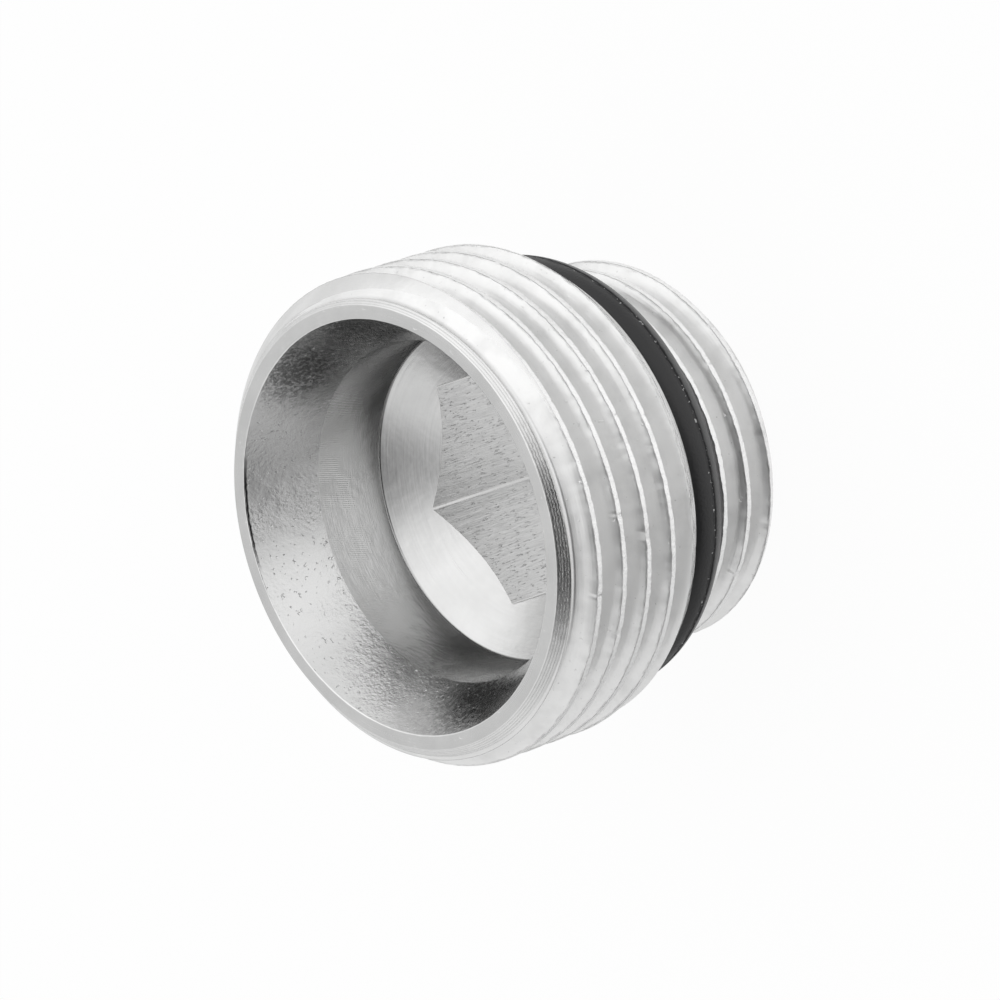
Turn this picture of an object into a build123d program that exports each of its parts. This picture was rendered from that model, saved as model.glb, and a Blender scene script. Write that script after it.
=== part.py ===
from build123d import *
import os
from math import ceil, radians, tan

# Pipe nipple that screws into a radiator with its small end and takes a pipe on its large end.
# The axis is Z. The small end's face is at Z = 0, and the coned mouth opens upwards.
# Hexagon corners lie on the X axis. Lengths are millimetres, angles are degrees.

# Thread form: right hand, 14 turns to the inch, with flat crests and roots
pitch = 25.4 / 14
thread_angle = 55
crest_flat = 0.302
cutter_overshoot = 0.1

# Large threaded end
large_thread_diameter = 26.441
large_thread_depth = 1.162
large_end_length = 10.3
large_chamfer = 1.41
rear_lead_length = 1.2
rear_lead_angle = 30
shoulder_chamfer = 0.7
large_groove_angle = -42.5

# Small threaded end
small_thread_diameter = 20.955
small_thread_depth = 1.162
small_end_length = 6.05
small_chamfer = 1.28
small_groove_angle = 79

# Neck between the two, which holds the sealing ring
neck_diameter = 18.6
neck_length = 2.65
ring_section = 2.62
ring_clearance = 0.02

# Seat for the pipe: a cone, a straight bore and the drill point below it
mouth_diameter = 22.14
cone_depth = 3.6
bore_diameter = 18.3
bore_depth = 8.1
drill_point_angle = 118

# Hexagonal hole for the fitting key
key_across_flats = 12.25
key_lead_in_diameter = 14.6

# Heights along the axis
neck_bottom = small_end_length
neck_middle = neck_bottom + neck_length / 2
shoulder = neck_bottom + neck_length
length = shoulder + large_end_length
bore_floor = length - bore_depth

large_radius = large_thread_diameter / 2
small_radius = small_thread_diameter / 2
neck_radius = neck_diameter / 2
mouth_radius = mouth_diameter / 2
bore_radius = bore_diameter / 2

# Lower edge of the large end: a 45 degree chamfer, then a steeper lead up to the thread
lead_foot = shoulder + shoulder_chamfer
lead_foot_radius = large_radius - rear_lead_length * tan(radians(rear_lead_angle))


def cut_thread(major_radius, depth, low, high, angle):
    """Cut a helical groove from LOW, where its middle is ANGLE degrees round from X, up to HIGH."""
    slope = tan(radians(thread_angle / 2))
    crest_half = (pitch - crest_flat) / 2
    root_half = crest_half - depth * slope
    outer_half = crest_half + cutter_overshoot * slope
    outer = major_radius + cutter_overshoot
    root = major_radius - depth
    stretches = ceil((high - low) / pitch)
    rise = (high - low) / stretches
    with BuildLine() as path:
        Helix(pitch, rise, major_radius)
    with BuildSketch(Plane.XZ) as cutter:
        with BuildLine():
            Polyline(
                (root, -root_half), (outer, -outer_half), (outer, outer_half), (root, root_half), close=True
            )
        make_face()
    stretch = sweep(cutter.sketch, path=path.line, is_frenet=True, mode=Mode.PRIVATE)
    turn = 360 * rise / pitch
    with Locations([Location((0, 0, low + n * rise), (0, 0, angle + n * turn)) for n in range(stretches)]):
        add(stretch, mode=Mode.SUBTRACT)


with BuildPart() as body:
    # Turned outline: chamfered small end, neck, shoulder, chamfered large end
    with BuildSketch(Plane.XZ):
        with BuildLine():
            Polyline(
                (0, 0),
                (small_radius - small_chamfer, 0),
                (small_radius, small_chamfer),
                (small_radius, neck_bottom),
                (neck_radius, neck_bottom),
                (neck_radius, shoulder),
                (lead_foot_radius - shoulder_chamfer, shoulder),
                (lead_foot_radius, lead_foot),
                (large_radius, lead_foot + rear_lead_length),
                (large_radius, length - large_chamfer),
                (large_radius - large_chamfer, length),
                (0, length),
                close=True,
            )
        make_face()
    revolve(axis=Axis.Z)

    # Large thread, from the middle of the neck to past the mouth
    turns_below_mouth = (length - neck_middle) / pitch
    start_angle = large_groove_angle - 360 * turns_below_mouth
    cut_thread(large_radius, large_thread_depth, neck_middle, length + pitch, start_angle)

    # Small thread, from below the small face to the middle of the neck
    cut_thread(small_radius, small_thread_depth, -pitch, neck_middle, small_groove_angle)

    # Coned mouth, straight bore and drill point
    with BuildSketch(Plane.XZ):
        with BuildLine():
            Polyline(
                (0, length),
                (mouth_radius, length),
                (bore_radius, length - cone_depth),
                (bore_radius, bore_floor),
                (0, bore_floor - bore_radius / tan(radians(drill_point_angle / 2))),
                close=True,
            )
        make_face()
    revolve(axis=Axis.Z, mode=Mode.SUBTRACT)

    # Hexagon broached through the floor, with a countersink where the key enters from below
    with BuildSketch():
        RegularPolygon(key_across_flats / 2, 6, major_radius=False)
    extrude(amount=bore_floor, mode=Mode.SUBTRACT)
    with BuildSketch(Plane.XZ):
        with BuildLine():
            lead_in = key_lead_in_diameter / 2
            Polyline((0, 0), (lead_in, 0), (0, lead_in), close=True)
        make_face()
    revolve(axis=Axis.Z, mode=Mode.SUBTRACT)
body.part.label = "nipple_body"

# Rubber ring round the neck, against the shoulder
with BuildPart() as ring:
    section_radius = ring_section / 2
    ring_middle = neck_radius + ring_clearance + section_radius
    with BuildSketch(Plane.XZ):
        with Locations((ring_middle, shoulder - ring_clearance - section_radius)):
            Circle(section_radius)
    revolve(axis=Axis.Z)
ring.part.label = "sealing_ring"

os.makedirs("parts", exist_ok=True)
export_step(body.part, "parts/nipple_body.step")
export_step(ring.part, "parts/sealing_ring.step")
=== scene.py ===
import math
from collections import namedtuple

import bpy
import numpy as np
from mathutils import Matrix, Vector


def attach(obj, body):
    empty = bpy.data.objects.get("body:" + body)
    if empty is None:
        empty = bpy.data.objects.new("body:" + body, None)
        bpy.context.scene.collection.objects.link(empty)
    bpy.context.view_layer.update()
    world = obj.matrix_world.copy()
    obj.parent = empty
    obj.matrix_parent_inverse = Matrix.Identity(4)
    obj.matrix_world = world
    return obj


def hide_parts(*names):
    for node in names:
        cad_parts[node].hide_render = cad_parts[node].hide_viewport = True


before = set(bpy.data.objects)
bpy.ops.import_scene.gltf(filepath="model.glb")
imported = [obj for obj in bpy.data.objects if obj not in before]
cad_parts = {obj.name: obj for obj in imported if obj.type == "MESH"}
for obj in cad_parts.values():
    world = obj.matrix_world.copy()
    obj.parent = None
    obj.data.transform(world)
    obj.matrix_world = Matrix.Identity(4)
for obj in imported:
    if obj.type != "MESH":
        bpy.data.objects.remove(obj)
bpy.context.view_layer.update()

# Sizes in millimetres, as in the part's own frame: axis along Z, small end's face at Z = 0
MM = 0.001
PITCH = 25.4 / 14
FLANK_ANGLE = math.radians(27.5)

LARGE_RADIUS = 26.441 / 2
LARGE_CHAMFER = 1.41
LARGE_GROOVE_ANGLE = -42.5
REAR_LEAD_LENGTH = 1.2
REAR_LEAD_SLOPE = math.tan(math.radians(30))
SHOULDER_CHAMFER = 0.7
SMALL_RADIUS = 20.955 / 2
SMALL_CHAMFER = 1.28
SMALL_GROOVE_ANGLE = 79
THREAD_DEPTH = 1.162
CREST_FLAT = 0.302
CREST_ROUND = 0.06
ROOT_ROUND = 0.249

SMALL_END = 6.05
NECK_RADIUS = 9.3
NECK_LENGTH = 2.65
LARGE_END = 10.3
SHOULDER = SMALL_END + NECK_LENGTH
LENGTH = SHOULDER + LARGE_END

MOUTH_RADIUS = 22.14 / 2
CONE_DEPTH = 3.6
BORE_RADIUS = 18.3 / 2
BORE_DEPTH = 8.1
BORE_FLOOR = LENGTH - BORE_DEPTH
BORE_CORNER = 0.2
DRILL_HALF_ANGLE = math.radians(59)
HEXAGON_FLATS = 12.25
HEXAGON_CORNER_ROUND = 0.14
LEAD_IN_RADIUS = 14.6 / 2
EDGE_ROUND = 0.1

# As the photo shows, the broach ran a little off the axis, and was turned by a degree or so
HEXAGON_SHIFT = np.array([-0.07, -0.26])
HEXAGON_TURN = 1.4

RING_SECTION = 2.62 / 2
RING_CLEARANCE = 0.02
RING_MIDDLE = NECK_RADIUS + RING_CLEARANCE + RING_SECTION
RING_HEIGHT = SHOULDER - RING_CLEARANCE - RING_SECTION

# How far a form that is cut with reaches past the surface that it cuts, and how far the blank
# stands out past the crests of the thread that is cut into it
OVERSHOOT = 0.5
BLANK_EXTRA = 0.05

# Mesh density: columns round each solid, rows round the ring's section
LARGE_COLUMNS = 540
SMALL_COLUMNS = 360
BORE_COLUMNS = 360
RING_COLUMNS = 480
RING_ROWS = 48
SHARP_ANGLE = math.radians(25)

# Streaks that the broach left on each flat
STREAKS_PER_FLAT = 44
STREAK_DEPTH = 0.008

# Wear of the thread's crests: its mean depth, how far down the flanks it reaches, and its waves,
# each with a size and a spacing. The edges of the crests wander in waves of their own.
CREST_WEAR = 0.012
CREST_WEAR_REACH = 0.05
CREST_WAVES = ((0.005, 1.1), (0.006, 0.3))
CREST_EDGE_WAVES = ((0.018, 0.5), (0.018, 0.19))
CREST_EDGE_REACH = 0.1
# Nicks: they form where a wander with this spacing goes past a level, and are this share of what
# goes past it deep
NICK_SPACING = 0.55
NICK_LEVEL = 0.78
NICK_SHARE = 0.16
# How far apart along the noise the two edges of a crest are read, so that each wanders by itself
SIDE_SHIFT = 40

# Parting line of the ring: a fin and a groove just below it, each with its angle and half width in
# radians round the section, its mean height or depth, and its waves
RING_SLIMMER = 0.004
FIN_ANGLE = 0.03
FIN_HALF_WIDTH = 0.03
FIN_HEIGHT = 0.025
FIN_WAVES = ((0.035, 0.45),)
DIP_ANGLE = -0.05
DIP_HALF_WIDTH = 0.045
DIP_DEPTH = 0.05
DIP_WAVES = ((0.035, 0.6),)

# Seeds of all that is random
LARGE_SEED = 20
SMALL_SEED = 50
HEXAGON_SEED = 11
FIN_SEED = 5
DIP_SEED = 6

# Grooves that the tool left in the front chamfer, next to the face
GROOVE_START = 0.11
GROOVE_SPACING = 0.145
GROOVE_HALF_WIDTH = 0.035
GROOVE_DEPTHS = (0.018, 0.026, 0.023, 0.028, 0.016)

# Camera, from its fit to the photo: where it aims, how far from there it stands and at which angles
AIM = Vector((-0.0115, 0.3710, 11.1763)) * MM
CAMERA_DISTANCE = 337.77 * MM
CAMERA_AZIMUTH = -178.2192
CAMERA_ELEVATION = 42.5397
CAMERA_ROLL = math.radians(-108.4355)
CAMERA_LENS = 232.17

# Light tent: its plain level, the darkest that it gets, and soft patches on it, each with the azimuth
# and elevation of its middle and its spread, in degrees, and what it adds to the level
TENT = 1.0
TENT_DARKEST = 0.02
TENT_PATCHES = (
    (140, 44, 29, -0.95),
    (-175, 46, 16, -0.4),
    (-85, 52, 36, 0.36),
    (-158, 5, 28, 0.25),
    (10, 38, 32, -0.25),
    (108, 10, 30, -0.36),
    (0, 90, 26, 0.1),
)
# Floor: half its side, how much of it is plain white to the camera and the metal, its brightness in
# the metal, and patches of that, each with its middle and reach in millimetres and what it adds
FLOOR_HALF = 250
FLOOR_WHITE = 0.95
FLOOR_SHINE = 0.94
# Patches of painted light and painted shadow on the floor, as the metal sees it
FLOOR_LIGHT_AND_SHADOW = (
    (-30, -4, 24, 0.42),
    (10, 60, 48, -0.5),
)

# Colours of the nickel, the rubber, the painted sheen on its lower side and the dust on its parting line
NICKEL = (0.7, 0.7, 0.697)
BLACK = (0.012, 0.012, 0.013, 1)
PAINTED_SHEEN = (0.038, 0.038, 0.039, 1)
DUST = (0.5, 0.5, 0.5, 1)

# Patches of painted shade in the hollow, each with its bearing in degrees, its radius, height and
# reach in millimetres, and its strength
MOUTH_SHADE_PATCHES = (
    (-62, 10.5, 17.8, 2, 1.2),
    (-98, 10.3, 17.6, 3.8, 0.9),
    (93, 9.9, 16.8, 3, 1.15),
)
BORE_SHADE_PATCHES = (
    (-74, 9.15, 13.2, 3.2, 1.3),
    (-40, 9.15, 11, 3, 0.5),
    (95, 9.15, 12, 3, 0.4),
)
# How much painted shade darkens the corner at the bore's floor, and how far up it reaches
CORNER_SHADE = 0.5
CORNER_SHADE_REACH = 2.4
# Painted shade in the grooves of the front chamfer, in the same terms as the hollow's patches, and how far
# it wanders
GROOVE_SHADE_PATCHES = ((168, 12.15, 18.6, 5, 1.2),)
GROOVE_WANDER = 0.06
# Dark line just inside the mouth's edge: the bearing of its middle, half its length as a
# bearing, the height of its foot, and how far the foot fades and is ragged
MOUTH_LINE_BEARING = math.radians(-15)
MOUTH_LINE_HALF_WIDTH = math.radians(17)
MOUTH_LINE_FOOT = 18.91
MOUTH_LINE_FADE = 0.04
MOUTH_LINE_RAGGED = 0.16
# Chatter marks in the bore: how many would go round it, how far their bearing leans over a millimetre
# of height, in radians, the height of their foot, and how far up from there they fade in
CHATTER_MARKS = 520
CHATTER_SKEW = 0.0267
CHATTER_FOOT = 12.3
CHATTER_FADE = 1.4

# Material slots of the body, one for each kind of surface
THREAD, CHAMFER, FACE, MOUTH, BORE, DRILL, HEXAGON, NECK, EDGE = range(9)

# Shader sockets that say where a surface point is
Place = namedtuple("Place", "vector bearing_x bearing_y radius height")


def wander(place, spacing, seed):
    """Smooth noise from -1 to 1 along a line, with a new value every SPACING."""
    count = 4096
    values = np.random.default_rng(seed).uniform(-1, 1, count)
    step = np.floor(place / spacing).astype(int)
    part = place / spacing - step
    part = part * part * (3 - 2 * part)
    return values[step % count] * (1 - part) + values[(step + 1) % count] * part


def wavy(place, level, waves, seed):
    """LEVEL plus a wander for each size and spacing in WAVES, each from the next seed."""
    for number, (size, spacing) in enumerate(waves):
        level = level + size * wander(place, spacing, seed + number)
    return level


def ridge(place, middle, half_width):
    """1 where PLACE is at MIDDLE, and less and less on both sides of it."""
    return np.exp(-(((place - middle) / half_width) ** 2))


def arc(center, radius, start, end, steps):
    """Points on an arc about CENTER, from START to END in degrees."""
    turn = np.radians(np.linspace(start, end, steps + 1))
    return [(center[0] + radius * math.cos(t), center[1] + radius * math.sin(t)) for t in turn]


def make_object(name, vertices, faces, zones, materials):
    """An object from points in millimetres, with a material slot number for each face."""
    mesh = bpy.data.meshes.new(name)
    mesh.from_pydata((np.asarray(vertices) * MM).tolist(), [], faces)
    for material in materials:
        mesh.materials.append(material)
    mesh.polygons.foreach_set("material_index", np.asarray(zones, dtype=np.int32))
    mesh.update()
    made = bpy.data.objects.new(name, mesh)
    bpy.context.scene.collection.objects.link(made)
    return made


def revolved(name, outline, zones, columns, materials):
    """A solid of revolution from (radius, height) points that start and end on the axis.

    The outline runs upwards. ZONES has the slot of each stretch between two points.
    """
    radius, height = np.array(outline).T
    turn = np.arange(columns) * 2 * math.pi / columns
    rows = len(outline) - 2
    grid = np.zeros((rows, columns, 3))
    grid[..., 0] = radius[1:-1, None] * np.cos(turn)
    grid[..., 1] = radius[1:-1, None] * np.sin(turn)
    grid[..., 2] = height[1:-1, None]
    vertices = np.vstack([grid.reshape(-1, 3), [[0, 0, height[0]], [0, 0, height[-1]]]])
    bottom, top = rows * columns, rows * columns + 1
    last = (rows - 1) * columns
    faces, slots = [], []
    for here in range(columns):
        there = (here + 1) % columns
        faces.append((bottom, there, here))
        slots.append(zones[0])
        for row in range(rows - 1):
            low, high = row * columns, (row + 1) * columns
            faces.append((low + here, low + there, high + there, high + here))
            slots.append(zones[row + 1])
        faces.append((top, last + here, last + there))
        slots.append(zones[-1])
    return make_object(name, vertices, faces, slots, materials)


def one_pitch():
    """The thread's form over one pitch: places along the axis from the groove's middle, and depths."""
    flank_turn = 90 - math.degrees(FLANK_ANGLE)
    land = CREST_FLAT / 2 - CREST_ROUND * math.tan(math.radians(flank_turn / 2))
    crest = [(0, 0)] + arc((land, CREST_ROUND), CREST_ROUND, -90, flank_turn - 90, steps=3)
    root = arc((0, THREAD_DEPTH - ROOT_ROUND), ROOT_ROUND, 90 - flank_turn, 90, steps=3)
    crest_side = [(PITCH / 2 - place, depth) for place, depth in crest]
    flank = (np.array(crest_side[-1]) + np.array(root[0])) / 2
    half = np.array(crest_side + [tuple(flank)] + root)
    other_half = half[1:-1][::-1]
    phase = np.concatenate([-half[:, 0], other_half[:, 0]])
    depth = np.concatenate([half[:, 1], other_half[:, 1]])
    return phase, depth


def threaded_rod(name, major, groove_height, low, high, columns, seed, materials):
    """A rod with a helical thread that reaches past LOW and HIGH, closed by a cone at each end.

    GROOVE_HEIGHT is a height at which the middle of the groove crosses the X axis.
    """
    phase, depth = one_pitch()
    per_turn = len(phase)
    start = groove_height - PITCH * math.ceil((groove_height - low) / PITCH + 1)
    turns = math.ceil((high - start) / PITCH) + 1
    turn = np.arange(columns)[:, None] / columns
    base = start + (np.arange(turns)[:, None] * PITCH + phase).ravel()
    crest_number = (np.arange(turns)[:, None] + (phase > 0)).ravel()
    along = (crest_number + turn) * 2 * math.pi * major
    depth = np.tile(depth, turns)
    side = np.tile(np.sign(phase), turns)

    # Wear of the crest: its height wavers, its edges are ragged and it has a few nicks
    near_crest = ridge(depth, 0, CREST_WEAR_REACH)
    worn = wavy(along, CREST_WEAR, CREST_WAVES, seed)
    nick = np.clip(wander(along, NICK_SPACING, seed + 2) - NICK_LEVEL, 0, 1) * NICK_SHARE
    edge = wavy(along + SIDE_SHIFT * side, 0, CREST_EDGE_WAVES, seed + 3)
    edge = edge * (depth > 0) * (depth < CREST_EDGE_REACH)
    radius = major - depth - (worn + nick) * near_crest
    height = base + PITCH * turn + edge

    rows = len(base)
    angle = 2 * math.pi * turn
    grid = np.stack([radius * np.cos(angle), radius * np.sin(angle), height], axis=-1)
    faces = []
    for column in range(columns):
        here = column * rows
        seam = column == columns - 1
        there = per_turn if seam else here + rows
        for row in range(rows - 1 - (per_turn if seam else 0)):
            a, b = here + row, there + row
            faces.append((a, b, b + 1, a + 1))
    bottom = columns * rows
    top = bottom + 1
    ends = [[0, 0, start - 2 * PITCH], [0, 0, start + (turns + 2) * PITCH]]
    vertices = np.vstack([grid.reshape(-1, 3), ends])
    lower_edge = [column * rows for column in range(columns)] + list(range(per_turn, 0, -1))
    upper_edge = [column * rows + rows - 1 for column in range(columns)]
    upper_edge += [columns * rows - 1 - row for row in range(1, per_turn + 1)]
    faces += [(bottom, b, a) for a, b in zip(lower_edge, lower_edge[1:] + lower_edge[:1])]
    faces += [(top, a, b) for a, b in zip(upper_edge, upper_edge[1:] + upper_edge[:1])]
    return make_object(name, vertices, faces, [THREAD] * len(faces), materials)


def combine(first, operation, second):
    """FIRST with SECOND joined, cut away or intersected. SECOND is used up."""
    boolean = first.modifiers.new(operation, "BOOLEAN")
    boolean.operation = operation
    boolean.object = second
    boolean.solver = "MANIFOLD"
    bpy.context.view_layer.update()
    evaluated = first.evaluated_get(bpy.context.evaluated_depsgraph_get())
    mesh = bpy.data.meshes.new_from_object(evaluated)
    first.modifiers.clear()
    first.data = mesh
    bpy.data.objects.remove(second)
    return first


def turning_grooves(edge_radius, end_height):
    """Points down a 45 degree chamfer from its edge at END_HEIGHT, with the tool's fine grooves in it."""
    points = []
    for number, depth in enumerate(GROOVE_DEPTHS):
        middle = GROOVE_START + number * GROOVE_SPACING
        for along, sunk in ((-GROOVE_HALF_WIDTH, 0), (0, depth), (GROOVE_HALF_WIDTH, 0)):
            radius = edge_radius + (middle + along - sunk) * math.sqrt(0.5)
            points.append((radius, end_height - (middle + along + sunk) * math.sqrt(0.5)))
    return points


def body_blank(materials):
    """The large end's turned outline without its thread."""
    outer = LARGE_RADIUS + BLANK_EXTRA
    edge = LARGE_RADIUS - LARGE_CHAMFER
    tangent = EDGE_ROUND * math.tan(math.radians(22.5))
    front = arc((edge - tangent, LENGTH - EDGE_ROUND), EDGE_ROUND, 45, 90, steps=4)
    grooves = turning_grooves(edge, LENGTH)[::-1]
    lead_foot = SHOULDER + SHOULDER_CHAMFER
    lead_radius = LARGE_RADIUS - REAR_LEAD_LENGTH * REAR_LEAD_SLOPE
    large = [
        (0, SHOULDER),
        (lead_radius - SHOULDER_CHAMFER, SHOULDER),
        (lead_radius, lead_foot),
        (outer, lead_foot + (outer - lead_radius) / REAR_LEAD_SLOPE),
        (outer, LENGTH - LARGE_CHAMFER - BLANK_EXTRA),
        *grooves,
        *front,
        (0, LENGTH),
    ]
    zones = [NECK, CHAMFER, CHAMFER, THREAD]
    zones += [CHAMFER] * (len(grooves) + 1)
    zones += [EDGE] * (len(front) - 1)
    zones.append(FACE)
    return revolved("nipple", large, zones, LARGE_COLUMNS, materials)


def hexagon_cutter(materials):
    """A hexagonal prism with rounded corners, and fine streaks along its flats as a broach leaves them."""
    rng = np.random.default_rng(HEXAGON_SEED)
    half = HEXAGON_FLATS / 2
    half_side = half * math.tan(math.radians(30))
    rounded = HEXAGON_CORNER_ROUND * math.tan(math.radians(30))
    points, zones = [], []
    for side in range(6):
        middle_turn = 60 * side + 30 + HEXAGON_TURN
        out = np.array([math.cos(math.radians(middle_turn)), math.sin(math.radians(middle_turn))])
        on = np.array([-out[1], out[0]])
        for place in np.linspace(rounded - half_side, half_side - rounded, STREAKS_PER_FLAT):
            at_end = abs(place) > half_side - 1.01 * rounded
            depth = 0 if at_end else rng.uniform(-STREAK_DEPTH, STREAK_DEPTH)
            points.append(out * (half + depth) + on * place)
        center = out * (half - HEXAGON_CORNER_ROUND) + on * (half_side - rounded)
        corner = arc(center, HEXAGON_CORNER_ROUND, middle_turn, middle_turn + 60, steps=4)[1:-1]
        points += corner
        zones += [HEXAGON] * (STREAKS_PER_FLAT - 1) + [EDGE] * (len(corner) + 1)
    count = len(points)
    outline = np.array(points) + HEXAGON_SHIFT
    vertices = [(x, y, z) for z in (-OVERSHOOT, BORE_FLOOR) for x, y in outline]
    faces = [(i, (i + 1) % count, count + (i + 1) % count, count + i) for i in range(count)]
    faces.append(tuple(range(count))[::-1])
    faces.append(tuple(range(count, 2 * count)))
    return make_object("hexagon", vertices, faces, zones + [HEXAGON] * 2, materials)


def bore_cutter(materials):
    """The drilled and turned hollow: drill point, straight bore, coned mouth and its broken edge."""
    cone_angle = math.atan((MOUTH_RADIUS - BORE_RADIUS) / CONE_DEPTH)
    tip = BORE_FLOOR - BORE_RADIUS / math.tan(DRILL_HALF_ANGLE)
    corner_turn = math.degrees(DRILL_HALF_ANGLE)
    reach = BORE_CORNER * math.tan(math.radians(corner_turn) / 2)
    corner = arc((BORE_RADIUS - BORE_CORNER, BORE_FLOOR + reach), BORE_CORNER, -corner_turn, 0, steps=4)
    edge_turn = 90 - math.degrees(cone_angle)
    edge_reach = EDGE_ROUND * math.tan(math.radians(edge_turn) / 2)
    edge_center = (MOUTH_RADIUS + edge_reach, LENGTH - EDGE_ROUND)
    edge = arc(edge_center, EDGE_ROUND, 90 + edge_turn, 90, steps=5)
    outline = [
        (0, tip),
        *corner,
        (BORE_RADIUS, LENGTH - CONE_DEPTH),
        *edge,
        (edge[-1][0], LENGTH + OVERSHOOT),
        (0, LENGTH + OVERSHOOT),
    ]
    zones = [DRILL] + [BORE] * len(corner) + [MOUTH] + [EDGE] * (len(edge) - 1) + [FACE] * 2
    return revolved("hollow", outline, zones, BORE_COLUMNS, materials)


def nipple_body(materials):
    """The whole brass piece as one mesh."""
    large_groove = LENGTH - PITCH * LARGE_GROOVE_ANGLE / 360
    small_groove = -PITCH * SMALL_GROOVE_ANGLE / 360
    body = body_blank(materials)
    rod = threaded_rod(
        "rod", LARGE_RADIUS, large_groove, SHOULDER, LENGTH, LARGE_COLUMNS, LARGE_SEED, materials
    )
    combine(body, "INTERSECT", rod)

    outer = SMALL_RADIUS + BLANK_EXTRA
    small_outline = [
        (0, 0),
        (SMALL_RADIUS - SMALL_CHAMFER, 0),
        (outer, SMALL_CHAMFER + BLANK_EXTRA),
        (outer, SMALL_END),
        (0, SMALL_END),
    ]
    small = revolved("small", small_outline, [FACE, CHAMFER, THREAD, NECK], SMALL_COLUMNS, materials)
    rod = threaded_rod(
        "rod", SMALL_RADIUS, small_groove, 0, SMALL_END, SMALL_COLUMNS, SMALL_SEED, materials
    )
    combine(small, "INTERSECT", rod)

    neck_outline = [
        (0, SMALL_END - OVERSHOOT),
        (NECK_RADIUS, SMALL_END - OVERSHOOT),
        (NECK_RADIUS, SHOULDER + OVERSHOOT),
        (0, SHOULDER + OVERSHOOT),
    ]
    neck = revolved("neck", neck_outline, [NECK] * 3, SMALL_COLUMNS, materials)
    combine(body, "UNION", neck)
    combine(body, "UNION", small)

    combine(body, "DIFFERENCE", bore_cutter(materials))
    combine(body, "DIFFERENCE", hexagon_cutter(materials))
    lead_in_outline = [
        (0, -OVERSHOOT),
        (LEAD_IN_RADIUS + OVERSHOOT, -OVERSHOOT),
        (0, LEAD_IN_RADIUS),
    ]
    lead_in = revolved("lead_in", lead_in_outline, [CHAMFER] * 2, BORE_COLUMNS, materials)
    combine(body, "DIFFERENCE", lead_in)
    body.data.shade_smooth()
    body.data.set_sharp_from_angle(angle=SHARP_ANGLE)
    return body


def sealing_ring(materials):
    """The rubber ring, with the thin uneven fin that its mould leaves round the outside."""
    turn = np.arange(RING_COLUMNS) * 2 * math.pi / RING_COLUMNS
    along = turn[:, None] * RING_MIDDLE
    # Rows round the section stand four times as close at the parting line as even ones would stand
    step = np.linspace(-1, 1, RING_ROWS, endpoint=False)
    around = math.pi * (0.25 * step + 0.75 * step**3)
    fin = ridge(around, FIN_ANGLE, FIN_HALF_WIDTH) * wavy(along, FIN_HEIGHT, FIN_WAVES, FIN_SEED)
    dip = ridge(around, DIP_ANGLE, DIP_HALF_WIDTH) * wavy(along, DIP_DEPTH, DIP_WAVES, DIP_SEED)
    section = RING_SECTION - RING_SLIMMER + fin - dip
    radius = RING_MIDDLE + section * np.cos(around)
    height = RING_HEIGHT + section * np.sin(around)
    grid = np.stack([radius * np.cos(turn)[:, None], radius * np.sin(turn)[:, None], height], axis=-1)
    faces = []
    for column in range(RING_COLUMNS):
        here, there = column * RING_ROWS, (column + 1) % RING_COLUMNS * RING_ROWS
        for row in range(RING_ROWS):
            above = (row + 1) % RING_ROWS
            faces.append((here + row, there + row, there + above, here + above))
    ring = make_object("ring", grid.reshape(-1, 3), faces, [0] * len(faces), materials)
    ring.data.shade_smooth()
    return ring


def add(tree, kind, sockets=None, **settings):
    """A new shader node, with each socket in SOCKETS set to a value or linked to another node's socket."""
    made = tree.nodes.new("ShaderNode" + kind)
    for name, value in settings.items():
        setattr(made, name, value)
    for name, value in (sockets or {}).items():
        if isinstance(value, bpy.types.NodeSocket):
            tree.links.new(value, made.inputs[name])
        else:
            made.inputs[name].default_value = value
    return made


def connect(tree, shader, sources):
    """Link each socket in SOURCES to the shader's input of that name."""
    for name, source in sources.items():
        tree.links.new(source, shader.inputs[name])


def calc(tree, operation, first, second=0.0, third=0.0):
    """The result of one Math node."""
    made = add(tree, "Math", {0: first, 1: second, 2: third}, operation=operation)
    return made.outputs[0]


def stretch(tree, value, low, high, to_low=0.0, to_high=1.0):
    """VALUE carried from the range LOW to HIGH to another one, and held at its ends."""
    sockets = {"Value": value, "From Min": low, "From Max": high, "To Min": to_low, "To Max": to_high}
    return add(tree, "MapRange", sockets, clamp=True).outputs[0]


def mixed(tree, amount, first, second):
    """A colour that goes from FIRST to SECOND as AMOUNT goes from 0 to 1."""
    return add(tree, "Mix", {0: amount, 6: first, 7: second}, data_type="RGBA").outputs[2]


def noise(tree, vector, scale=1.0, detail=2.0, roughness=0.5):
    """Noise from 0 to 1."""
    sockets = {"Vector": vector, "Scale": scale, "Detail": detail, "Roughness": roughness}
    return add(tree, "TexNoise", sockets, noise_dimensions="3D").outputs[0]


def places(tree):
    """Where a surface point is, in millimetres, with its bearing as the two parts of a unit vector."""
    texture = add(tree, "TexCoord")
    scaled = add(tree, "VectorMath", {0: texture.outputs["Object"], "Scale": 1 / MM}, operation="SCALE")
    vector = scaled.outputs[0]
    x, y, height = add(tree, "SeparateXYZ", {0: vector}).outputs
    squares = calc(tree, "ADD", calc(tree, "MULTIPLY", x, x), calc(tree, "MULTIPLY", y, y))
    radius = calc(tree, "SQRT", squares)
    bearing_x = calc(tree, "DIVIDE", x, radius)
    bearing_y = calc(tree, "DIVIDE", y, radius)
    return Place(vector, bearing_x, bearing_y, radius, height)


def lathe_noise(tree, place, across, around, rise=0.6):
    """Noise in lines round the axis, with the scale ACROSS them and the scale AROUND along them.

    RISE is how much a millimetre of height counts beside one of radius.
    """
    profile = calc(tree, "MULTIPLY_ADD", place.height, rise, place.radius)
    sockets = {
        0: calc(tree, "MULTIPLY", place.bearing_x, around),
        1: calc(tree, "MULTIPLY", place.bearing_y, around),
        2: calc(tree, "MULTIPLY", profile, across),
    }
    return noise(tree, add(tree, "CombineXYZ", sockets).outputs[0], detail=3)


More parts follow.
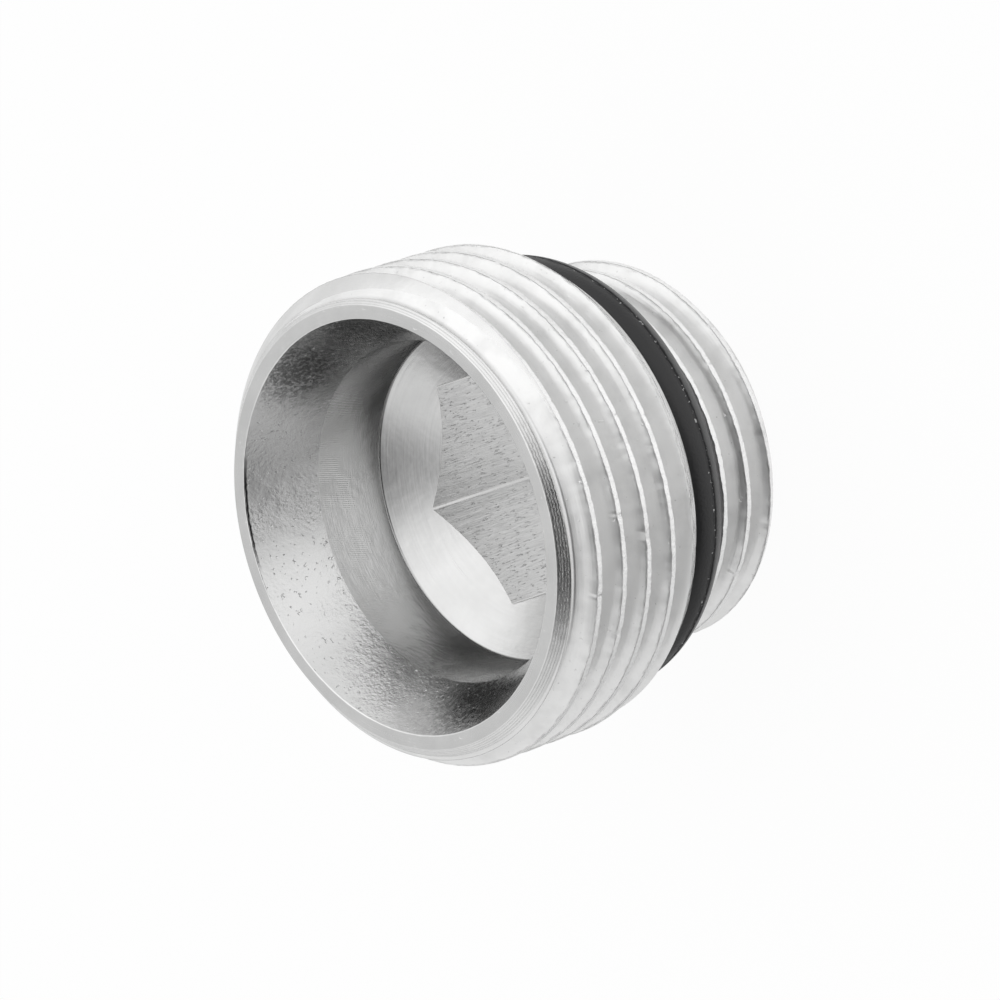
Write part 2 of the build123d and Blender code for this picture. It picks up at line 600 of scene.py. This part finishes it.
def streaky_noise(tree, place, across, along, detail=2.0, roughness=0.5):
    """Noise in streaks along the axis, with the scale ACROSS them and the scale ALONG them."""
    sockets = {0: place.vector, 1: (across, across, along)}
    squeezed = add(tree, "VectorMath", sockets, operation="MULTIPLY").outputs[0]
    return noise(tree, squeezed, 1, detail, roughness)


def bumped(tree, height, distance, normal):
    """NORMAL bumped by HEIGHT times DISTANCE in millimetres."""
    sockets = {"Height": height, "Distance": distance * MM, "Normal": normal, "Strength": 1.0}
    return add(tree, "Bump", sockets).outputs[0]


def faded(tree, away, strength):
    """STRENGTH where AWAY is 0, and less and less round it."""
    fall = calc(tree, "EXPONENT", calc(tree, "MULTIPLY", calc(tree, "MULTIPLY", away, away), -1))
    return calc(tree, "MULTIPLY", fall, strength)


def patch(tree, place, middle, reach, strength):
    """A soft patch round the point MIDDLE, STRENGTH there and fading over REACH, in millimetres."""
    apart = add(tree, "VectorMath", {0: place.vector, 1: middle}, operation="DISTANCE").outputs["Value"]
    return faded(tree, calc(tree, "DIVIDE", apart, reach), strength)


def patches(tree, place, rows):
    """All patches in ROWS added up, each with its bearing, radius, height, reach and strength."""
    total = 0.0
    for bearing, radius, height, reach, strength in rows:
        turn = math.radians(bearing)
        middle = (radius * math.cos(turn), radius * math.sin(turn), height)
        total = calc(tree, "ADD", total, patch(tree, place, middle, reach, strength))
    return total


def new_material(name):
    """A new material, with its node tree, its shader and the places on its surface."""
    material = bpy.data.materials.new(name)
    material.use_nodes = True
    tree = material.node_tree
    return material, tree, tree.nodes["Principled BSDF"], places(tree)


def new_metal(name, roughness, edge=0.0):
    """A new bare metal, with what new_material gives and a normal that rounds edges by EDGE millimetres."""
    material, tree, shader, place = new_material(name)
    shader.inputs["Metallic"].default_value = 1
    shader.inputs["Roughness"].default_value = roughness
    if edge:
        normal = add(tree, "Bevel", {"Radius": edge * MM}, samples=4).outputs[0]
    else:
        normal = add(tree, "NewGeometry").outputs["Normal"]
    return material, tree, shader, place, normal


def tinted(tree, amount, low, high):
    """Nickel's colour, from LOW to HIGH of its brightness as AMOUNT goes from 0 to 1."""
    dark = (*[part * low for part in NICKEL], 1)
    light = (*[part * high for part in NICKEL], 1)
    return mixed(tree, amount, dark, light)


def groove_lines(tree, place):
    """1 in the grooves of the front chamfer, where shade is painted, and 0 elsewhere."""
    down = calc(tree, "MULTIPLY", calc(tree, "SUBTRACT", LENGTH, place.height), math.sqrt(2))
    down = calc(tree, "MULTIPLY_ADD", noise(tree, place.vector, scale=5), GROOVE_WANDER, down)
    past_first = calc(tree, "SUBTRACT", down, GROOVE_START + GROOVE_WANDER / 2)
    turn = calc(tree, "MULTIPLY", past_first, 2 * math.pi / GROOVE_SPACING)
    lines = stretch(tree, calc(tree, "COSINE", turn), -0.3, 0.3)
    end = GROOVE_START + (len(GROOVE_DEPTHS) - 0.4) * GROOVE_SPACING
    return calc(tree, "MULTIPLY", lines, stretch(tree, down, end, end - GROOVE_WANDER / 2))


def turned_nickel(
    name, roughness, across, around, depth,
    edge=0.07, rise=0.6, waves=0.03, dents=0.0, tone=1.0, shaded_grooves=False,
):
    """Nickel over a turned surface: fine lines round the axis, slow waves and faint stains.

    ACROSS, AROUND and RISE set the lines as in lathe_noise. DEPTH, WAVES and DENTS are the depths of
    the lines, the waves and some small dents. A true last argument paints shade into the chamfer's grooves.
    """
    material, tree, shader, place, normal = new_metal(name, roughness, edge)
    lines = lathe_noise(tree, place, across, around, rise)
    normal = bumped(tree, lines, depth, normal)
    normal = bumped(tree, noise(tree, place.vector, scale=1.1), waves, normal)
    if dents:
        dent = stretch(tree, noise(tree, place.vector, scale=2.7, detail=1), 0.7, 0.78, 0, -1)
        normal = bumped(tree, dent, dents, normal)
    stains = noise(tree, place.vector, scale=0.35, detail=4, roughness=0.6)
    brightness = stretch(tree, stains, 0.35, 0.65, 0.92, 1)
    # Painted shade in the grooves of the front chamfer, where their patches reach
    if shaded_grooves:
        painted_dark = calc(tree, "MULTIPLY", patches(tree, place, GROOVE_SHADE_PATCHES), groove_lines(tree, place))
        painted_dark = calc(tree, "MINIMUM", painted_dark, 1)
        brightness = calc(tree, "MULTIPLY", brightness, calc(tree, "MULTIPLY_ADD", painted_dark, -0.85, 1))
    connect(tree, shader, {
        "Base Color": tinted(tree, brightness, 0, 1.03 * tone),
        "Roughness": stretch(tree, lines, 0.3, 0.7, 0.8 * roughness, 1.25 * roughness),
        "Normal": normal,
    })
    return material


def near_crests(tree, radius, below, outer, inner, ragged=0.0):
    """1 where RADIUS is within INNER of a line that lies BELOW the crests, and 0 from OUTER on.

    RAGGED is added to the distance from that line.
    """
    total = 0.0
    for major in (LARGE_RADIUS, SMALL_RADIUS):
        apart = calc(tree, "ABSOLUTE", calc(tree, "SUBTRACT", radius, major - below))
        apart = calc(tree, "ADD", apart, ragged)
        total = calc(tree, "ADD", total, stretch(tree, apart, outer, inner))
    return total


def thread_nickel():
    """Nickel over the cut threads: ragged crests with a painted highlight, lines along the flanks, stains,
    pits and a dark line under the crests.
    """
    material, tree, shader, place, normal = new_metal("nickel_thread", roughness=0.3, edge=0.03)
    shader.inputs["Metallic"].default_value = 0.82
    normal = bumped(tree, lathe_noise(tree, place, across=7, around=3, rise=0.1), 0.008, normal)
    ragged = noise(tree, place.vector, scale=6, detail=3, roughness=0.6)
    ragged = calc(tree, "MULTIPLY_ADD", ragged, 0.05, -0.025)
    on_crest = near_crests(tree, place.radius, 0.005, 0.045, 0.02, ragged)
    burr = noise(tree, place.vector, scale=4.5, detail=3, roughness=0.65)
    normal = bumped(tree, calc(tree, "MULTIPLY", burr, on_crest), 0.09, normal)
    normal = bumped(tree, noise(tree, place.vector, scale=0.7, detail=1), 0.035, normal)
    grains = stretch(tree, noise(tree, place.vector, scale=3.4), 0.7, 0.78)
    normal = bumped(tree, grains, 0.014, normal)

    pits = stretch(tree, noise(tree, place.vector, scale=5.5, detail=1), 0.75, 0.8)
    # A ragged dark line just under the crests, here and there
    wandering = noise(tree, place.vector, scale=3, detail=3)
    wandering = calc(tree, "MULTIPLY_ADD", wandering, 0.1, place.radius)
    under_crest = near_crests(tree, wandering, 0.03, 0.05, 0.02)
    here_and_there = stretch(tree, noise(tree, place.vector, scale=1.2), 0.42, 0.6)
    crest_dark_line = calc(tree, "MULTIPLY", under_crest, here_and_there)
    stains = stretch(tree, noise(tree, place.vector, scale=0.6, detail=3, roughness=0.55), 0.3, 0.5)
    brightness = calc(tree, "MULTIPLY_ADD", calc(tree, "MAXIMUM", pits, crest_dark_line), -3, stains)
    brightness = calc(tree, "MULTIPLY_ADD", brightness, 0.16, 0.5)
    # Painted highlight: the crests are made lighter in colour
    brightness = calc(tree, "MULTIPLY_ADD", on_crest, 0.24, brightness)
    connect(tree, shader, {"Base Color": tinted(tree, brightness, 0.72, 1.34), "Normal": normal})
    return material


def mouth_dark_line(tree, place):
    """1 on the ragged dark line just inside the mouth's edge, and 0 elsewhere."""
    ragged = noise(tree, place.vector, scale=3, detail=3)
    ragged = calc(tree, "MULTIPLY_ADD", ragged, MOUTH_LINE_RAGGED, place.height)
    on_line = stretch(tree, ragged, MOUTH_LINE_FOOT, MOUTH_LINE_FOOT + MOUTH_LINE_FADE)
    along = calc(tree, "MULTIPLY", place.bearing_x, math.cos(MOUTH_LINE_BEARING))
    along = calc(tree, "MULTIPLY_ADD", place.bearing_y, math.sin(MOUTH_LINE_BEARING), along)
    in_reach = stretch(tree, along, math.cos(MOUTH_LINE_HALF_WIDTH), math.cos(MOUTH_LINE_HALF_WIDTH / 2))
    return calc(tree, "MULTIPLY", on_line, in_reach)


def cone_nickel():
    """Nickel over the coned mouth: an orange-peel surface with scratches, specks, patches of painted shade
    and a dark line.
    """
    material, tree, shader, place, normal = new_metal("nickel_mouth", roughness=0.25)
    normal = bumped(tree, noise(tree, place.vector, scale=1.4), 0.012, normal)
    scratches = noise(tree, place.vector, scale=5.5, detail=3, roughness=0.6)
    rougher = stretch(tree, noise(tree, place.vector, scale=0.35), 0.4, 0.6, 0.4, 1.4)
    normal = bumped(tree, calc(tree, "MULTIPLY", scratches, rougher), 0.017, normal)
    specks = stretch(tree, noise(tree, place.vector, scale=4.5, detail=1), 0.68, 0.75, 0, -1)
    normal = bumped(tree, specks, 0.018, normal)

    # Painted shade: the hollow's patches, broken up by speckle, darken the colour
    speckle = noise(tree, place.vector, scale=4.2, detail=3, roughness=0.65)
    speckle = stretch(tree, speckle, 0.42, 0.58, 0.5, 1.2)
    painted_shade = calc(tree, "MULTIPLY", patches(tree, place, MOUTH_SHADE_PATCHES), speckle)
    brightness = calc(tree, "MULTIPLY_ADD", calc(tree, "MINIMUM", painted_shade, 1), -0.7, 1)
    # A dark line just inside the mouth's edge darkens the colour too
    off_line = calc(tree, "MULTIPLY_ADD", mouth_dark_line(tree, place), -0.95, 1)
    brightness = calc(tree, "MULTIPLY", brightness, off_line)
    connect(tree, shader, {"Base Color": tinted(tree, brightness, 0, 0.93), "Normal": normal})
    return material


def bore_nickel():
    """Nickel over the straight bore: chatter marks, which are short lines along the axis side by side."""
    material, tree, shader, place, normal = new_metal("nickel_bore", roughness=0.2)
    turn = calc(tree, "ARCTAN2", place.bearing_y, place.bearing_x)
    skewed = calc(tree, "MULTIPLY_ADD", place.height, CHATTER_SKEW, turn)
    wobble = calc(tree, "MULTIPLY", noise(tree, place.vector, scale=0.8), 4)
    marks = calc(tree, "SINE", calc(tree, "MULTIPLY_ADD", skewed, CHATTER_MARKS, wobble))
    bands = stretch(tree, noise(tree, place.vector, scale=0.9), 0.4, 0.6)
    above_foot = stretch(tree, place.height, CHATTER_FOOT, CHATTER_FOOT + CHATTER_FADE)
    marks = calc(tree, "MULTIPLY", marks, calc(tree, "MULTIPLY", bands, above_foot))
    normal = bumped(tree, marks, 0.0018, normal)
    normal = bumped(tree, lathe_noise(tree, place, across=14, around=6, rise=1), 0.004, normal)
    normal = bumped(tree, noise(tree, place.vector, scale=1.4, detail=3), 0.014, normal)

    # Painted shade: the corner at the bore's floor and the bore's patches darken the colour
    painted_dark = stretch(tree, place.height, BORE_FLOOR + CORNER_SHADE_REACH, BORE_FLOOR, 0, CORNER_SHADE)
    painted_dark = calc(tree, "ADD", painted_dark, patches(tree, place, BORE_SHADE_PATCHES))
    connect(tree, shader, {"Base Color": tinted(tree, painted_dark, 1.02, 0.5), "Normal": normal})
    return material


def broached_nickel():
    """Nickel over the hexagon's flats: torn streaks along the axis, with pits."""
    material, tree, shader, place, normal = new_metal("nickel_hexagon", roughness=0.28, edge=0.04)
    streaks = streaky_noise(tree, place, across=14, along=0.9, detail=3, roughness=0.6)
    normal = bumped(tree, streaks, 0.03, normal)
    pits = stretch(tree, streaky_noise(tree, place, across=10, along=2.4), 0.63, 0.7, 0, -1)
    normal = bumped(tree, pits, 0.025, normal)
    brightness = calc(tree, "ADD", stretch(tree, streaks, 0.3, 0.6), pits)
    connect(tree, shader, {"Base Color": tinted(tree, brightness, 0.8, 1), "Normal": normal})
    return material


def rubber():
    """Satin black rubber: dust on its parting line, a dull groove below that, and a faint painted sheen on
    its lower side.
    """
    material, tree, shader, place = new_material("rubber")
    off_fin = calc(tree, "ABSOLUTE", calc(tree, "SUBTRACT", place.height, RING_HEIGHT))
    specks = stretch(tree, noise(tree, place.vector, scale=6, detail=1), 0.67, 0.73)
    dusty = calc(tree, "MULTIPLY", specks, stretch(tree, off_fin, 0.16, 0.08))
    ragged = noise(tree, place.vector, scale=3, detail=4, roughness=0.65)
    ragged = calc(tree, "MULTIPLY_ADD", ragged, 0.22, calc(tree, "SUBTRACT", place.height, 0.11))
    off_groove = calc(tree, "ABSOLUTE", calc(tree, "SUBTRACT", ragged, RING_HEIGHT - 0.06))
    # Painted sheen: below the parting line the rubber is made lighter in colour
    sheen_side = stretch(tree, ragged, RING_HEIGHT - 0.05, RING_HEIGHT - 0.2)
    grain = noise(tree, place.vector, scale=7, detail=4, roughness=0.6)
    connect(tree, shader, {
        "Base Color": mixed(tree, dusty, mixed(tree, sheen_side, BLACK, PAINTED_SHEEN), DUST),
        "Roughness": stretch(tree, off_groove, 0.11, 0.07, 0.36, 0.95),
        "Normal": bumped(tree, grain, 0.02, add(tree, "NewGeometry").outputs["Normal"]),
    })
    return material


def pointing(azimuth, elevation):
    """The unit vector with this azimuth and elevation in degrees."""
    flat = math.cos(math.radians(elevation))
    return (
        math.cos(math.radians(azimuth)) * flat,
        math.sin(math.radians(azimuth)) * flat,
        math.sin(math.radians(elevation)),
    )


def tent_patch(tree, direction, azimuth, elevation, spread, strength):
    """A soft patch of light or dark on the tent, STRENGTH at its middle and fading over SPREAD degrees."""
    sockets = {0: direction, 1: pointing(azimuth, elevation)}
    toward = add(tree, "VectorMath", sockets, operation="DOT_PRODUCT").outputs["Value"]
    away = calc(tree, "DIVIDE", calc(tree, "SUBTRACT", 1, toward), 1 - math.cos(math.radians(spread)))
    return faded(tree, away, strength)


def plain_to_camera(tree, level):
    """1 for what the camera sees directly, and LEVEL for light and reflections."""
    seen = add(tree, "LightPath").outputs["Is Camera Ray"]
    return add(tree, "Mix", {0: seen, 2: level, 3: 1.0}, data_type="FLOAT").outputs[0]


def studio():
    """The light: a white tent with soft patches, which the camera itself sees as plain white."""
    world = bpy.data.worlds.new("studio")
    world.use_nodes = True
    tree = world.node_tree
    direction = add(tree, "TexCoord").outputs["Generated"]
    light = TENT
    for row in TENT_PATCHES:
        light = calc(tree, "ADD", light, tent_patch(tree, direction, *row))
    light = calc(tree, "MAXIMUM", light, TENT_DARKEST)
    background = tree.nodes["Background"]
    background.inputs["Color"].default_value = (1, 1, 1, 1)
    tree.links.new(plain_to_camera(tree, light), background.inputs["Strength"])
    bpy.context.scene.world = world


def floor():
    """A floor that the camera and the metal see as nearly plain white, and that keeps a soft shadow."""
    material, tree, shader, place = new_material("floor")
    shader.inputs["Base Color"].default_value = (0.9, 0.9, 0.9, 1)
    shader.inputs["Roughness"].default_value = 0.6
    # Painted light and painted shadow on the floor, which only reflections in the metal show
    shine = FLOOR_SHINE
    for x, y, reach, strength in FLOOR_LIGHT_AND_SHADOW:
        shine = calc(tree, "ADD", shine, patch(tree, place, (x, y, 0), reach, strength))
    white = add(tree, "Emission", {"Color": (1, 1, 1, 1), "Strength": plain_to_camera(tree, shine)})
    path = add(tree, "LightPath")
    seen = calc(tree, "MAXIMUM", path.outputs["Is Camera Ray"], path.outputs["Is Glossy Ray"])
    share = calc(tree, "MULTIPLY", seen, FLOOR_WHITE)
    mix = add(tree, "MixShader", {0: share, 1: shader.outputs[0], 2: white.outputs[0]})
    tree.links.new(mix.outputs[0], tree.nodes["Material Output"].inputs["Surface"])
    signs = ((-1, -1), (1, -1), (1, 1), (-1, 1))
    corners = [(x * FLOOR_HALF, y * FLOOR_HALF, 0) for x, y in signs]
    made = make_object("floor", corners, [(0, 1, 2, 3)], [0], [material])


def place_camera():
    """A camera that looks at AIM from the photo's side."""
    back = Vector(pointing(CAMERA_AZIMUTH, CAMERA_ELEVATION))
    level_right = Vector((0, 0, 1)).cross(back).normalized()
    level_up = back.cross(level_right)
    right = math.cos(CAMERA_ROLL) * level_right + math.sin(CAMERA_ROLL) * level_up
    turned = Matrix((right, back.cross(right), back)).transposed().to_4x4()
    camera = bpy.data.objects.new("camera", bpy.data.cameras.new("camera"))
    camera.data.lens = CAMERA_LENS
    camera.data.sensor_width = 36
    camera.data.clip_start = 0.01
    camera.matrix_world = Matrix.Translation(AIM + back * CAMERA_DISTANCE) @ turned
    bpy.context.scene.collection.objects.link(camera)
    bpy.context.scene.camera = camera


body_materials = [
    thread_nickel(),
    turned_nickel("nickel_chamfer", 0.15, across=9, around=5, depth=0.012, shaded_grooves=True),
    turned_nickel("nickel_face", 0.22, across=9, around=2, depth=0.005, edge=0, rise=0, dents=0.015),
    cone_nickel(),
    bore_nickel(),
    turned_nickel(
        "nickel_drill", 0.22, across=8, around=1.5, depth=0.0025, edge=0, rise=0.3, waves=0.012, tone=0.9
    ),
    broached_nickel(),
    turned_nickel("nickel_neck", 0.25, across=9, around=4, depth=0.012, dents=0.015),
    turned_nickel("nickel_edge", 0.1, across=9, around=14, depth=0.016, edge=0),
]
body = nipple_body(body_materials)
body.name = "nickel_nipple"
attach(body, "root")
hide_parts("nipple_body")

ring = sealing_ring([rubber()])
ring.name = "rubber_ring"
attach(ring, "root")
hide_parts("sealing_ring")

place_camera()
floor()
studio()
bpy.context.scene.view_settings.view_transform = "Standard"
